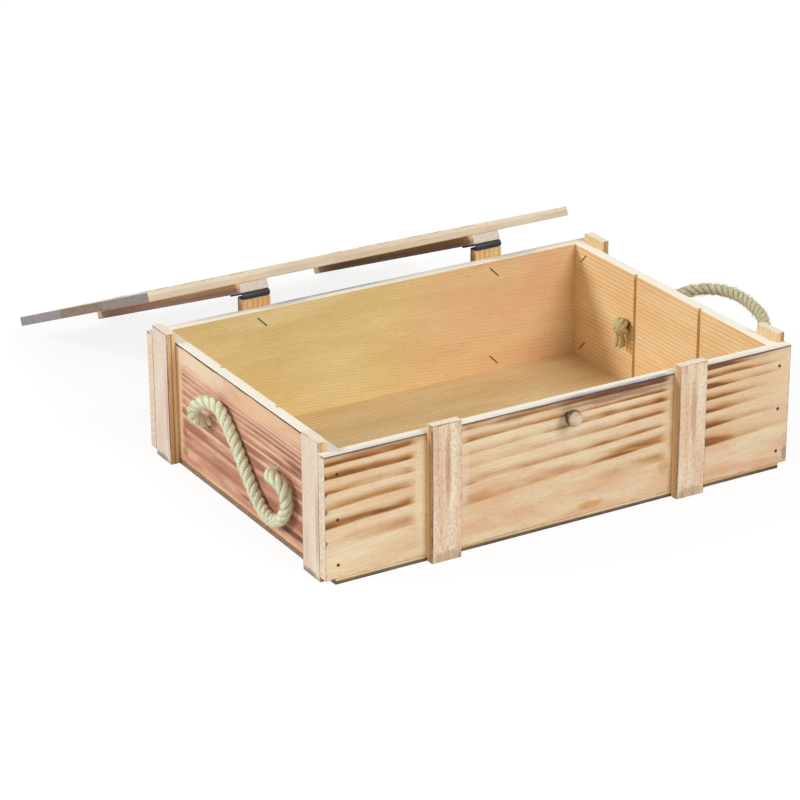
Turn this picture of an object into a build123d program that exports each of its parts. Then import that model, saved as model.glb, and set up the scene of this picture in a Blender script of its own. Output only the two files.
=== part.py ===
from build123d import *
import math
import os

# A low, wide wooden wine case with its lid folded right back.
# Millimetres. X runs along the long front, Y from the front to the back, Z up.
# The origin is the middle of the underside.

# --- box ---
box_length = 420.0             # over the ends of the front and back walls
box_depth = 290.0              # over the outer faces of the front and back walls
wall_height = 100.0
wall_thickness = 9.0
bottom_thickness = 4.5
batten_width = 26.0
batten_thickness = 8.0
batten_spacing = 222.0         # between the centres of the two battens of a long side
batten_edge_radius = 0.8
board_edge_radius = 0.5

# --- grooves for loose dividers, in the inner faces of the end walls ---
bottle_rows = 3
groove_width = 4.0
groove_depth = 2.5

# --- lid ---
lid_board_count = 3
lid_board_thickness = 8.0
lid_batten_thickness = 8.0
lid_end_gap = 1.5              # between each end of the lid and the corner battens
lid_side_gap = 1.0             # between the lid and the front and back battens
lid_seat_gap = 0.3             # between the closed lid and the wall tops
lid_joint_gap = 0.4            # between two boards of the lid
lid_batten_gap = 0.8           # between the closed lid's battens and the box battens below them

# --- hinge line of the straps ---
hinge_set_back = 2.5           # from the back face of the back battens to the hinge line
swing_clearance = 0.3          # the lid battens pass this far above the back battens
floor_clearance = 0.5          # the folded lid stops this far above the surface

# --- straps ---
strap_width = 25.0
strap_thickness = 1.3
strap_box_length = 20.0        # how far the strap runs down the back batten
strap_lid_length = 22.0        # how far it runs along the lid batten
strap_corner_radius = 0.9      # inside the bend over the batten's top edge
strap_top_gap = 0.3            # between the strap and the top of the batten
strap_leaf_margin = 2.0        # the leaves end this far short of the batten's end
strap_lift_off = 1.0           # the strap leaves the lid batten this far before its end

# --- rope handles ---
rope_diameter = 9.6
rope_hole_diameter = 10.8
rope_hole_spacing = 112.0
rope_hole_height = 52.0        # above the underside of the end wall
knot_diameter = 16.0
knot_seat = 6.5                # from the wall to the middle of the knot
knot_tail_length = 15.0
knot_tail_diameter = 8.0

# --- closure knob ---
knob_diameter = 13.2
knob_reach = 9.0               # from the front wall to the middle of the ball
knob_drop = 13.0               # from the top of the wall to the middle of the ball
knob_stem_diameter = 4.5
knob_stem_depth = 7.0

# --- nails and staples ---
nail_diameter = 1.4
nail_length = 30.0
nail_head_diameter = 2.6
nail_head_thickness = 0.8
nail_proud = 0.15
nail_end_margin = 10.5         # from the end of the long wall
nail_bottom_margin = 11.0
nail_top_margin = 16.0
nails_per_corner = 3
staple_crown = 12.0
staple_wire = 1.0
staple_proud = 0.25
staple_tilt = 45.0
staple_margin = 10.0           # from the top or bottom of the wall to the middle of a staple
wall_staple_leg = 14.0
lid_staple_leg = 13.0
lid_staple_spacing = 60.0      # between the two staples of a board
strap_staple_leg = 8.0
strap_staple_margin = 6.0      # from the free end of the strap
bottom_staple_leg = 13.0
bottom_staple_pitch = 95.0     # along the long walls
bottom_staple_sink = 0.15      # the crowns lie this far above the underside
staple_dimple = 0.4            # depth of the dent round each crown in the underside

# --- places that follow from the sizes above ---
wall_base = bottom_thickness
wall_top = wall_base + wall_height
half_length = box_length / 2
half_depth = box_depth / 2
end_face = half_length - batten_thickness
end_inner = end_face - wall_thickness
inner_face = half_depth - wall_thickness
batten_face = half_depth + batten_thickness
batten_x = batten_spacing / 2
lid_under = wall_top + lid_seat_gap
lid_batten_under = lid_under + lid_board_thickness
batten_top = lid_batten_under - lid_batten_gap
rope_z = wall_base + rope_hole_height
rope_y = rope_hole_spacing / 2
knob_z = wall_top - knob_drop

# The hinge line is high enough for the lid batten's lower corner to pass over the back batten.
swing_room = lid_batten_gap - swing_clearance
hinge_rise = (hinge_set_back**2 - swing_room**2) / (2 * swing_room)
hinge_y = batten_face - hinge_set_back
hinge_z = lid_batten_under + hinge_rise

# The folded lid leans back until the free end of its battens almost meets the surface.
corner_reach = hinge_y + batten_face
corner_height = lid_batten_under + lid_batten_thickness - hinge_z
corner_radius = math.hypot(corner_reach, corner_height)
lid_lean = math.asin((hinge_z - floor_clearance) / corner_radius) - math.atan2(corner_height, corner_reach)
lid_turn = math.pi + lid_lean


def folded(y, z):
    """Where a point of the closed lid lies once the lid is folded back."""
    dy = y - hinge_y
    dz = z - hinge_z
    new_y = hinge_y + dy * math.cos(lid_turn) + dz * math.sin(lid_turn)
    new_z = hinge_z - dy * math.sin(lid_turn) + dz * math.cos(lid_turn)
    return new_y, new_z


# Plane of the folded lid: local X along the box, local Y towards the hinge, local Z out of the lid.
lid_origin = folded(0, lid_under)
lid_plane = Plane(
    origin=(0, lid_origin[0], lid_origin[1]),
    x_dir=(1, 0, 0),
    z_dir=(0, math.sin(lid_turn), math.cos(lid_turn)),
)
lid_up = lid_plane.z_dir
lid_back = lid_plane.y_dir

os.makedirs("parts", exist_ok=True)


def save(part, name):
    """Label one finished piece and write it as a STEP file."""
    part.label = name
    export_step(part, f"parts/{name}.step")


# --- long walls ---
with BuildPart() as front_wall:
    with BuildSketch(Plane.XZ.offset(half_depth)):
        with Locations((0, wall_base + wall_height / 2)):
            Rectangle(box_length, wall_height)
    extrude(amount=-wall_thickness)
    fillet(front_wall.edges().filter_by(Axis.X).group_by(Axis.Z)[-1], board_edge_radius)
    with BuildSketch(Plane.XZ.offset(half_depth)):
        with Locations((0, knob_z)):
            Circle(knob_stem_diameter / 2)
    extrude(amount=-knob_stem_depth, mode=Mode.SUBTRACT)
save(front_wall.part, "front_wall")

with BuildPart() as back_wall:
    with BuildSketch(Plane.XZ.offset(-half_depth)):
        with Locations((0, wall_base + wall_height / 2)):
            Rectangle(box_length, wall_height)
    extrude(amount=wall_thickness)
    fillet(back_wall.edges().filter_by(Axis.X).group_by(Axis.Z)[-1], board_edge_radius)
save(back_wall.part, "back_wall")

# --- end walls, with divider grooves and rope holes ---
row_pitch = 2 * inner_face / bottle_rows
groove_places = [row_pitch * (row + 1) - inner_face for row in range(bottle_rows - 1)]


def end_wall(side):
    """One end wall; side is -1 at the left end and 1 at the right end."""
    start_x = min(side * end_inner, side * end_face)
    groove_x = side * (end_inner + groove_depth / 2)
    with BuildPart() as wall:
        with BuildSketch(Plane.YZ.offset(start_x)):
            with Locations((0, wall_base + wall_height / 2)):
                Rectangle(2 * inner_face, wall_height)
        extrude(amount=wall_thickness)
        fillet(wall.edges().filter_by(Axis.Y).group_by(Axis.Z)[-1], board_edge_radius)
        with BuildSketch(Plane.XY.offset(wall_base)):
            with Locations(*[(groove_x, y) for y in groove_places]):
                Rectangle(groove_depth, groove_width)
        extrude(amount=wall_height, mode=Mode.SUBTRACT)
        with BuildSketch(Plane.YZ.offset(start_x)):
            with Locations((-rope_y, rope_z), (rope_y, rope_z)):
                Circle(rope_hole_diameter / 2)
        extrude(amount=wall_thickness, mode=Mode.SUBTRACT)
    return wall.part


save(end_wall(-1), "left_end_wall")
save(end_wall(1), "right_end_wall")

# --- bottom panel, with a small dent round each staple crown ---
long_staple_count = int((2 * end_inner - 2 * staple_margin) // bottom_staple_pitch) + 1
long_staple_half = (long_staple_count - 1) * bottom_staple_pitch / 2
wall_line_y = half_depth - wall_thickness / 2
wall_line_x = end_face - wall_thickness / 2
long_staple_places = [
    (index * bottom_staple_pitch - long_staple_half, side * wall_line_y)
    for index in range(long_staple_count)
    for side in (-1, 1)
]
end_staple_places = [
    (side_x * wall_line_x, side_y * row_pitch)
    for side_x in (-1, 1)
    for side_y in (-1, 0, 1)
]

with BuildPart() as bottom_panel:
    with BuildSketch(Plane.XY):
        Rectangle(2 * end_face, box_depth)
    extrude(amount=bottom_thickness)
    with BuildSketch(Plane.XY):
        with Locations(*long_staple_places):
            Rectangle(staple_crown + staple_wire, 2 * staple_wire)
        with Locations(*end_staple_places):
            Rectangle(2 * staple_wire, staple_crown + staple_wire)
    extrude(amount=staple_dimple, mode=Mode.SUBTRACT)
save(bottom_panel.part, "bottom_panel")


# --- battens: four outside the corners and two on each long side ---
def box_batten(x, y, size_x, size_y):
    """One upright batten standing on the surface beside the box."""
    with BuildPart() as batten:
        with BuildSketch(Plane.XY):
            with Locations((x, y)):
                Rectangle(size_x, size_y)
        extrude(amount=batten_top)
        fillet(batten.edges(), batten_edge_radius)
    return batten.part


corner_batten_x = end_face + batten_thickness / 2
corner_batten_y = inner_face - batten_width / 2
side_batten_y = half_depth + batten_thickness / 2
for side_y, side_name in ((-1, "front"), (1, "back")):
    for side_x, end_name in ((-1, "left"), (1, "right")):
        corner = box_batten(side_x * corner_batten_x, side_y * corner_batten_y, batten_thickness, batten_width)
        save(corner, f"{side_name}_{end_name}_corner_batten")
        upright = box_batten(side_x * batten_x, side_y * side_batten_y, batten_width, batten_thickness)
        save(upright, f"{side_name}_{end_name}_batten")

# --- turned closure knob ---
knob_centre_y = -half_depth - knob_reach
with BuildPart() as closure_knob:
    with BuildSketch(Plane.XZ.offset(half_depth - knob_stem_depth)):
        with Locations((0, knob_z)):
            Circle(knob_stem_diameter / 2)
    extrude(amount=knob_stem_depth + knob_reach)
    with Locations((0, knob_centre_y, knob_z)):
        Sphere(knob_diameter / 2)
save(closure_knob.part, "closure_knob")

# --- nails that hold the long walls to the end walls ---
nail_pitch = (wall_height - nail_bottom_margin - nail_top_margin) / (nails_per_corner - 1)
nail_heights = [wall_base + nail_bottom_margin + nail_pitch * row for row in range(nails_per_corner)]
nail_x = half_length - nail_end_margin
nail_places = [(side * nail_x, height) for side in (-1, 1) for height in nail_heights]

with BuildPart() as wall_nails:
    for side in (-1, 1):
        with BuildSketch(Plane.XZ.offset(side * (half_depth + nail_proud))):
            with Locations(*nail_places):
                Circle(nail_head_diameter / 2)
        extrude(amount=-side * nail_head_thickness)
        with BuildSketch(Plane.XZ.offset(side * (half_depth + nail_proud))):
            with Locations(*nail_places):
                Circle(nail_diameter / 2)
        extrude(amount=-side * nail_length)
save(wall_nails.part, "wall_nails")


# --- staples ---
def staple_plane(point, normal, up, tilt):
    """Plane of one staple: local X along its crown, local Y out of the wood."""
    outward = Vector(*normal)
    upward = Vector(*up)
    across = upward.cross(outward)
    angle = math.radians(tilt)
    crown = across * math.cos(angle) - upward * math.sin(angle)
    return Plane(origin=point, x_dir=crown, z_dir=crown.cross(outward))


def staples(planes, leg, proud):
    """A group of staples of one size, each in its own plane."""
    with BuildPart() as group:
        for plane in planes:
            with BuildSketch(plane):
                with Locations((0, proud - leg / 2)):
                    Rectangle(staple_crown, leg)
                with Locations((0, proud - staple_wire - leg / 2)):
                    Rectangle(staple_crown - 2 * staple_wire, leg, mode=Mode.SUBTRACT)
            extrude(amount=staple_wire / 2, both=True)
    return group.part


staple_heights = (wall_base + staple_margin, wall_top - staple_margin)
upright_axis = (0, 0, 1)
batten_staple_planes = []
for height in staple_heights:
    for side_x in (-1, 1):
        for side_y in (-1, 1):
            on_long_wall = (side_x * batten_x, side_y * inner_face, height)
            on_end_wall = (side_x * end_inner, side_y * corner_batten_y, height)
            batten_staple_planes.append(staple_plane(on_long_wall, (0, -side_y, 0), upright_axis, staple_tilt))
            batten_staple_planes.append(staple_plane(on_end_wall, (-side_x, 0, 0), upright_axis, -staple_tilt))
save(staples(batten_staple_planes, wall_staple_leg, staple_proud), "batten_staples")

bottom_staple_planes = [
    staple_plane((x, y, 0), (0, 0, -1), (0, 1, 0), 0) for x, y in long_staple_places
] + [
    staple_plane((x, y, 0), (0, 0, -1), (1, 0, 0), 0) for x, y in end_staple_places
]
save(staples(bottom_staple_planes, bottom_staple_leg, -bottom_staple_sink), "bottom_staples")

# --- lid boards and lid battens, folded back ---
lid_length = 2 * (end_face - lid_end_gap)
lid_depth = 2 * (half_depth - lid_side_gap)
lid_board_width = (lid_depth - (lid_board_count - 1) * lid_joint_gap) / lid_board_count
lid_board_pitch = lid_board_width + lid_joint_gap
lid_board_places = [
    (index - (lid_board_count - 1) / 2) * lid_board_pitch for index in range(lid_board_count)
]
for index, place in enumerate(lid_board_places):
    with BuildPart() as lid_board:
        with BuildSketch(lid_plane):
            with Locations((0, place)):
                Rectangle(lid_length, lid_board_width)
        extrude(amount=lid_board_thickness)
        fillet(lid_board.edges(), board_edge_radius)
    save(lid_board.part, f"lid_board_{index + 1}")

for side_x, end_name in ((-1, "left"), (1, "right")):
    with BuildPart() as lid_batten:
        with BuildSketch(lid_plane.offset(lid_board_thickness)):
            with Locations((side_x * batten_x, 0)):
                Rectangle(batten_width, 2 * batten_face)
        extrude(amount=lid_batten_thickness)
        fillet(lid_batten.edges(), batten_edge_radius)
    save(lid_batten.part, f"{end_name}_lid_batten")

lid_staple_planes = []
for place in lid_board_places:
    for side_x in (-1, 1):
        for side_y in (-1, 1):
            local_place = (side_x * batten_x, place + side_y * lid_staple_spacing / 2, 0)
            point = lid_plane.from_local_coords(local_place)
            lid_staple_planes.append(staple_plane(point, -lid_up, lid_back, staple_tilt))
save(staples(lid_staple_planes, lid_staple_leg, staple_proud), "lid_staples")

# --- hinge straps: a leaf on the box, a leaf on the lid and the fold between them ---
box_leaf_bottom = batten_top - strap_box_length
box_leaf_top = batten_top - strap_leaf_margin
lid_leaf_outer = lid_board_thickness + lid_batten_thickness
lid_leaf_end = batten_face - strap_leaf_margin
lid_leaf_start = batten_face - strap_lid_length

# The fold's middle line bends over the batten's top edge, turns back on itself above the batten
# and runs out under the lid batten.
strap_half = strap_thickness / 2
lower_line_z = batten_top + strap_top_gap + strap_half
lift_y, lift_z = folded(batten_face - strap_lift_off, lid_batten_under + lid_batten_thickness + strap_half)
turn_radius = (lift_z - lower_line_z) / (1 + math.cos(lid_lean))
turn_centre_y = lift_y - turn_radius * math.sin(lid_lean)
print(f"strap turns back at a radius of {turn_radius:.2f} mm")

for side_x, end_name in ((-1, "left"), (1, "right")):
    strap_x = side_x * batten_x
    with BuildPart() as box_leaf:
        with BuildSketch(Plane.XZ.offset(-batten_face)):
            with Locations((strap_x, (box_leaf_bottom + box_leaf_top) / 2)):
                Rectangle(strap_width, box_leaf_top - box_leaf_bottom)
        extrude(amount=-strap_thickness)
    save(box_leaf.part, f"{end_name}_strap_box_leaf")

    with BuildPart() as strap_fold:
        with BuildLine(Plane.YZ.offset(strap_x)) as fold_line:
            bend_radius = strap_corner_radius + strap_half
            rise = Line(
                (batten_face + strap_half, box_leaf_top),
                (batten_face + strap_half, lower_line_z - bend_radius),
            )
            bend = JernArc(rise @ 1, rise % 1, bend_radius, 90)
            along = Line(bend @ 1, (turn_centre_y, lower_line_z))
            back = JernArc(along @ 1, along % 1, turn_radius, -math.degrees(lid_turn))
            Line(back @ 1, (back @ 1) + (back % 1) * (strap_leaf_margin - strap_lift_off))
        with BuildSketch(Plane(origin=rise @ 0, x_dir=(1, 0, 0), z_dir=(0, 0, 1))):
            Rectangle(strap_width, strap_thickness)
        sweep(path=fold_line.line)
    save(strap_fold.part, f"{end_name}_strap_fold")

    with BuildPart() as lid_leaf:
        with BuildSketch(lid_plane.offset(lid_leaf_outer)):
            with Locations((strap_x, (lid_leaf_start + lid_leaf_end) / 2)):
                Rectangle(strap_width, lid_leaf_end - lid_leaf_start)
        extrude(amount=strap_thickness)
    save(lid_leaf.part, f"{end_name}_strap_lid_leaf")

box_staple_z = box_leaf_bottom + strap_staple_margin
strap_box_planes = [
    staple_plane((side_x * batten_x, batten_face + strap_thickness, box_staple_z), (0, 1, 0), upright_axis, 0)
    for side_x in (-1, 1)
]
save(staples(strap_box_planes, strap_staple_leg, staple_proud), "strap_box_staples")

strap_lid_planes = []
for side_x in (-1, 1):
    local_place = (side_x * batten_x, lid_leaf_start + strap_staple_margin, lid_leaf_outer + strap_thickness)
    point = lid_plane.from_local_coords(local_place)
    strap_lid_planes.append(staple_plane(point, lid_up, lid_back, 0))
save(staples(strap_lid_planes, strap_staple_leg, staple_proud), "strap_lid_staples")

# --- rope handles ---
# Each route is the middle line from the knot inside the back hole to the knot inside the front hole.
left_route = [
    (-end_inner, rope_y, rope_z),
    (-206.5, rope_y, rope_z),
    (-215.8, 55.6, 65.3),
    (-216.0, 50.8, 75.3),
    (-211.5, 40.0, 82.0),
    (-208.0, 24.5, 81.0),
    (-207.0, 6.5, 64.6),
    (-207.0, -12.5, 45.0),
    (-207.2, -30.5, 27.5),
    (-207.5, -44.5, 19.0),
    (-208.0, -62.0, 18.5),
    (-208.0, -77.0, 28.0),
    (-208.0, -84.5, 43.5),
    (-210.0, -79.0, 57.0),
    (-213.5, -66.5, 60.5),
    (-206.3, -rope_y, rope_z),
    (-end_inner, -rope_y, rope_z),
]
right_route = [
    (end_inner, rope_y, rope_z),
    (210.0, rope_y, rope_z),
    (227.0, 59.0, 62.6),
    (246.0, 61.5, 71.0),
    (263.5, 54.5, 75.3),
    (273.5, 39.0, 78.7),
    (277.5, 17.5, 80.2),
    (275.5, -6.5, 79.2),
    (270.0, -30.0, 77.2),
    (260.0, -47.0, 73.8),
    (245.5, -56.0, 68.8),
    (228.0, -58.5, 63.0),
    (210.0, -rope_y, rope_z),
    (end_inner, -rope_y, rope_z),
]


def route_radii(points):
    """Radius of the arc at each inner point: 0.45 of the shorter run over the tangent of half the turn."""
    radii = []
    for before, point, after in zip(points, points[1:], points[2:]):
        run_in = Vector(*point) - Vector(*before)
        run_out = Vector(*after) - Vector(*point)
        half_turn = math.radians(run_in.get_angle(run_out)) / 2
        radii.append(0.45 * min(run_in.length, run_out.length) / math.tan(half_turn))
    return radii


def halfway(first, second):
    """Middle of one run of a route."""
    return tuple((a + b) / 2 for a, b in zip(first, second))


def rope_tube(points, radii):
    """A round tube along one stretch of a route."""
    with BuildPart() as tube:
        with BuildLine() as middle_line:
            FilletPolyline(*points, radius=radii)
        with BuildSketch(Plane(origin=middle_line.line @ 0, z_dir=middle_line.line % 0)):
            Circle(rope_diameter / 2)
        sweep(path=middle_line.line)
    section = math.pi * rope_diameter**2 / 4
    length = middle_line.wire().length
    print(f"  {length:.1f} mm long, volume over section times length {tube.part.volume / section / length:.4f}")
    return tube.part


def rope_handle(name, route, first_cut, second_cut):
    """The two fixed ends of a handle as one node and the bight between them as another."""
    radii = route_radii(route)
    print(name, "radii", [round(radius, 1) for radius in radii])
    start_cut = halfway(route[first_cut], route[first_cut + 1])
    end_cut = halfway(route[second_cut], route[second_cut + 1])
    back_end = rope_tube(route[:first_cut + 1] + [start_cut], radii[:first_cut])
    front_end = rope_tube([end_cut] + route[second_cut + 1:], radii[second_cut:])
    bight = rope_tube([start_cut] + route[first_cut + 1:second_cut + 1] + [end_cut], radii[first_cut:second_cut])
    save(Compound(children=[back_end, front_end]), f"{name}_ends")
    save(bight, f"{name}_bight")


rope_handle("left_rope", left_route, 6, 12)
rope_handle("right_rope", right_route, 1, 11)


def knots(side):
    """The two knots inside one end wall, each with its short tail hanging down."""
    wall_x = side * end_inner
    centre_x = side * (end_inner - knot_seat)
    with BuildPart() as pair:
        for place_y in (-rope_y, rope_y):
            with Locations((centre_x, place_y, rope_z)):
                Sphere(knot_diameter / 2)
            tail_start = Plane(origin=(centre_x, place_y, rope_z), z_dir=(-side * 0.25, 0.2, -1))
            with BuildSketch(tail_start):
                Circle(knot_tail_diameter / 2)
            extrude(amount=knot_tail_length)
        with BuildSketch(Plane.YZ.offset(wall_x)):
            Rectangle(box_depth, 2 * wall_top)
        extrude(amount=side * knot_diameter, mode=Mode.SUBTRACT)
    return pair.part


save(knots(-1), "left_rope_knots")
save(knots(1), "right_rope_knots")

print(f"lid leans {math.degrees(lid_lean):.2f} degrees, hinge line at Y {hinge_y:.2f}, Z {hinge_z:.2f}")
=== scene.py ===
import math
import random

import bmesh
import bpy
from mathutils import Matrix, Vector, kdtree


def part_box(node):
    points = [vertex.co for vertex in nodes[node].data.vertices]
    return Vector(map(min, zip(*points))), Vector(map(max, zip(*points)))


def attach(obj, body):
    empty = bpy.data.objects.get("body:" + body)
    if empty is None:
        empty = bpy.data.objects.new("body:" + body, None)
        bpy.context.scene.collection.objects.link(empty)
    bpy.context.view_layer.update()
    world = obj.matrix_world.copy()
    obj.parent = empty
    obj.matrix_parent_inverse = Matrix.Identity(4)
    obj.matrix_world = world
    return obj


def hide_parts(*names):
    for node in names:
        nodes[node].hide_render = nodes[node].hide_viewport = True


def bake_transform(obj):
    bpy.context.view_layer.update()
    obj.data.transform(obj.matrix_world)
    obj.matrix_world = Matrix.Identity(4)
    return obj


# A wooden wine case with flamed pine boards, rope handles and a lid on two leather straps.
# Metres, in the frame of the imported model.

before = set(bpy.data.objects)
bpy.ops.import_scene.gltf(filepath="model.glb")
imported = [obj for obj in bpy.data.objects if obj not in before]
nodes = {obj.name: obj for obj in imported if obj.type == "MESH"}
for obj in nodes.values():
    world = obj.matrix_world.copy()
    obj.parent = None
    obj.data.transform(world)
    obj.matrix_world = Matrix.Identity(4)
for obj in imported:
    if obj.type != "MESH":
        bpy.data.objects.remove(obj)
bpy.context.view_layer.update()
random.seed(7)

MM = 0.001
X, Y, Z = Vector((1, 0, 0)), Vector((0, 1, 0)), Vector((0, 0, 1))

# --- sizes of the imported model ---
batten_face = 153.0 * MM
batten_x = 111.0 * MM
batten_top = 112.0 * MM
lid_lean = math.radians(22.56)
rope_diameter = 9.6 * MM
rope_hole_y = 56.0 * MM
rope_hole_z = 56.5 * MM
knot_middle_x = 186.5 * MM
knot_radius = 8.0 * MM
strap_width = 25.0 * MM
strap_thickness = 1.3 * MM


def placed(name, data):
    """A new object in the scene that holds the given data."""
    holder = bpy.data.objects.new(name, data)
    bpy.context.scene.collection.objects.link(holder)
    return holder


# --- camera: a long lens on the photograph's line of sight ---
def aim_camera(place, azimuth, elevation, roll, lens):
    """Stands the camera at a place and turns it the way the photograph looks."""
    a, e, r = (math.radians(angle) for angle in (azimuth, elevation, roll))
    back = Vector((math.sin(a) * math.cos(e), -math.cos(a) * math.cos(e), math.sin(e)))
    right = Vector((math.cos(a), math.sin(a), 0))
    up = back.cross(right)
    camera = placed("camera", bpy.data.cameras.new("camera"))
    turn = Matrix((
        math.cos(r) * right + math.sin(r) * up,
        -math.sin(r) * right + math.cos(r) * up,
        back,
    )).transposed()
    camera.matrix_world = Matrix.Translation(place) @ turn.to_4x4()
    camera.data.lens = lens
    camera.data.sensor_width = 36
    camera.data.clip_end = 50
    bpy.context.scene.camera = camera


aim_camera(
    place=Vector((-1.157783, -1.876509, 0.986933)),
    azimuth=-30.295, elevation=23.008, roll=-0.351, lens=135,
)


# --- small tools ---
def linear(colour):
    """An sRGB hex colour as linear red, green, blue and alpha."""
    parts = [int(colour[i:i + 2], 16) / 255 for i in (1, 3, 5)]
    return [p / 12.92 if p <= 0.04045 else ((p + 0.055) / 1.055) ** 2.4 for p in parts] + [1]


def add(tree, kind, inputs=(), out=0, stops=(), **settings):
    """Adds a shader node, feeds its inputs by name or in order, and returns one of its outputs."""
    made = tree.nodes.new("ShaderNode" + kind)
    for name, value in settings.items():
        setattr(made, name, value)
    if stops:
        ramp = made.color_ramp
        while len(ramp.elements) < len(stops):
            ramp.elements.new(0.5)
        for element, (position, share) in zip(ramp.elements, stops):
            element.position = position
            element.color = (share, share, share, 1)
    fed = inputs if isinstance(inputs, dict) else dict(enumerate(inputs))
    for name, value in fed.items():
        if isinstance(value, bpy.types.NodeSocket):
            tree.links.new(value, made.inputs[name])
        else:
            made.inputs[name].default_value = value
    return made.outputs[out] if made.outputs else None


def new_material(name):
    """An empty material with a Principled shader; returns it with its tree and the shader."""
    material = bpy.data.materials.new(name)
    material.use_nodes = True
    tree = material.node_tree
    tree.nodes.clear()
    shader = add(tree, "BsdfPrincipled")
    add(tree, "OutputMaterial", {"Surface": shader})
    return material, tree, shader.node


def layered(tree, ground, layers):
    """Lays colours over the ground one after another, each as strongly as its own mask says."""
    for mask, colour in layers:
        colour = linear(colour) if isinstance(colour, str) else colour
        # 0 is the Mix node's factor, 6 and 7 are its two colours, and 2 is the mixed colour
        ground = add(tree, "Mix", {0: mask, 6: ground, 7: colour}, out=2, data_type="RGBA")
    return ground


def product(tree, first, *others):
    """Several masks and strengths multiplied together."""
    for other in others:
        first = add(tree, "Math", (first, other), operation="MULTIPLY")
    return first


def finish_with(tree, shader, colour, roughness, height, depth):
    """Feeds the shader its colour and roughness and presses the height into the surface."""
    tree.links.new(colour, shader.inputs["Base Color"])
    tree.links.new(roughness, shader.inputs["Roughness"])
    bump = add(tree, "Bump", {"Height": height, "Distance": depth, "Strength": 1.0})
    tree.links.new(bump, shader.inputs["Normal"])


def paint(piece, material):
    """Gives a piece or a CAD node one material all over."""
    piece.data.materials.clear()
    piece.data.materials.append(material)
    for face in piece.data.polygons:
        face.material_index = 0


def keep(name, form, smooth=True):
    """Makes an object of a bmesh and frees the bmesh."""
    mesh = bpy.data.meshes.new(name)
    form.to_mesh(mesh)
    form.free()
    for face in mesh.polygons:
        face.use_smooth = smooth
    return placed(name, mesh)


def finished_mesh(piece):
    """The mesh that a curve's tube or a piece's modifiers come to."""
    bpy.context.view_layer.update()
    finished = piece.evaluated_get(bpy.context.evaluated_depsgraph_get())
    return bpy.data.meshes.new_from_object(finished)


# --- rope handles: three laid strands on the smooth line of each route ---
left_route = [
    (-193, 56, 56.5), (-206.5, 56, 56.5), (-215.8, 55.6, 65.3), (-216.0, 50.8, 75.3),
    (-211.5, 40, 82), (-208, 24.5, 81), (-207, 6.5, 64.6), (-207, -12.5, 45), (-207.2, -30.5, 27.5),
    (-207.5, -44.5, 19), (-208, -62, 18.5), (-208, -77, 28), (-208, -84.5, 43.5), (-210, -79, 57),
    (-213.5, -66.5, 60.5), (-206.3, -56, 56.5), (-193, -56, 56.5),
]
right_route = [
    (193, 56, 56.5), (210, 56, 56.5), (227, 59, 62.6), (246, 61.5, 71), (263.5, 54.5, 75.3),
    (273.5, 39, 78.7), (277.5, 17.5, 80.2), (275.5, -6.5, 79.2), (270, -30, 77.2), (260, -47, 73.8),
    (245.5, -56, 68.8), (228, -58.5, 63), (210, -56, 56.5), (193, -56, 56.5),
]
strand_diameter = 5.2 * MM    # three strands, pressed together in the rope
strand_reach = 2.45 * MM      # from the rope's middle to a strand's middle
lay_length = 21.4 * MM        # one full turn of a strand
fibre_diameter = 0.17 * MM    # one sisal fibre
rope_fibres = 1300            # loose ends along one rope


def curve_object(name, kind, runs, **settings):
    """A curve with one open spline through or along each run of places."""
    line = bpy.data.curves.new(name, "CURVE")
    line.dimensions = "3D"
    for setting, value in settings.items():
        setattr(line, setting, value)
    for places in runs:
        spline = line.splines.new(kind)
        spline.points.add(len(places) - 1)
        for point, place in zip(spline.points, places):
            point.co = (*place, 1)
        spline.order_u = 3
        spline.use_endpoint_u = True
    return placed(name, line)


def mesh_of(holder):
    """The curve's mesh, with the curve itself taken away again."""
    mesh = finished_mesh(holder)
    line = holder.data
    bpy.data.objects.remove(holder)
    bpy.data.curves.remove(line)
    return mesh


def smooth_line(name, route):
    """Points read from the NURBS spline of a route given in millimetres."""
    places = [Vector(place) * MM for place in route]
    line = mesh_of(curve_object(name, "NURBS", [places], resolution_u=16))
    return [vertex.co.copy() for vertex in line.vertices]


def carried_sides(points):
    """The tangent and a side direction at each point of a line, without any twist of their own."""
    tangent = (points[1] - points[0]).normalized()
    side = tangent.orthogonal().normalized()
    carried = []
    for i in range(len(points)):
        ahead = (points[min(i + 1, len(points) - 1)] - points[max(i - 1, 0)]).normalized()
        side = (tangent.rotation_difference(ahead) @ side).normalized()
        tangent = ahead
        carried.append((tangent, side))
    return carried


def twisted(points, reach, lay, start):
    """A helix of the given reach and lay round a line."""
    along = 0
    helix = []
    for i, (tangent, side) in enumerate(carried_sides(points)):
        if i:
            along += (points[i] - points[i - 1]).length
        turn = start + 2 * math.pi * along / lay
        out = math.cos(turn) * side + math.sin(turn) * tangent.cross(side)
        helix.append(points[i] + reach * out)
    return helix


def add_strands(form, runs, diameter, roundness):
    """Adds a round strand along each run of places."""
    mesh = mesh_of(curve_object(
        "strand", "POLY", runs,
        bevel_depth=diameter / 2, bevel_resolution=roundness, use_fill_caps=True,
    ))
    form.from_mesh(mesh)
    bpy.data.meshes.remove(mesh)


def loose_fibres(points, count, radius):
    """Short bent fibres that stand off a rope, each leaving it along its lay."""
    carried = carried_sides(points)
    fibres = []
    for _ in range(count):
        i = random.randrange(2, len(points) - 2)
        tangent, side = carried[i]
        turn = random.uniform(0, 2 * math.pi)
        out = math.cos(turn) * side + math.sin(turn) * tangent.cross(side)
        about = tangent.cross(out)
        way = random.choice((-1, 1)) * tangent + random.uniform(-0.5, 0.5) * about
        length = random.uniform(1.2, 4.0) * MM
        lift = random.uniform(0.2, 1.0)
        root = points[i] + out * radius * 0.97    # just inside the rope's skin
        fibres.append([
            root + way * length * t + out * length * lift * t * (1.6 - t)
            + about * length * 0.2 * t * t
            for t in (0, 0.35, 0.7, 1)
        ])
    return fibres


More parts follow.
